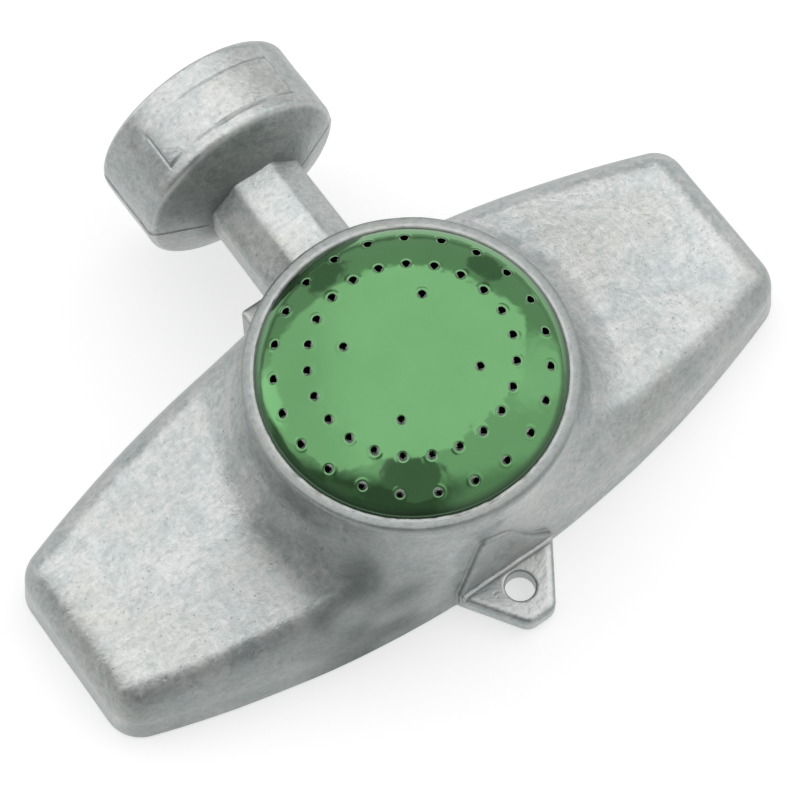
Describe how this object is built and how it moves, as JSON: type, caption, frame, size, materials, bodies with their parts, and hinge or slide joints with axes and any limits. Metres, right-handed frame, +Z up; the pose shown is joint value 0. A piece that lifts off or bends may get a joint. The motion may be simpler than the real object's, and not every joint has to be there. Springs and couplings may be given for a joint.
{
  "type": "spot sprinkler",
  "caption": "Stationary spot sprinkler: a winged die-cast base with a perforated green dome held in a round collar, a fixed hose bell on an eight-sided neck, and an eyelet tab.",
  "frame": {"origin": "in the plane that the base stands on, under the centre of the spray dome", "axes": "+X along the wings, +Y towards the hose inlet, +Z up through the dome"},
  "size_m": [0.1322, 0.0975, 0.0419],
  "materials": {
    "cast_zinc": "raw die-cast zinc, dull satin, mottled",
    "green_aluminium": "green anodised, glossy",
    "black_rubber": "matt"
  },
  "bodies": {
    "root": {"body_casting": "cast_zinc", "spray_dome": "green_aluminium", "dome_gasket": "black_rubber", "hose_washer": "black_rubber"}
  },
  "joints": []
}
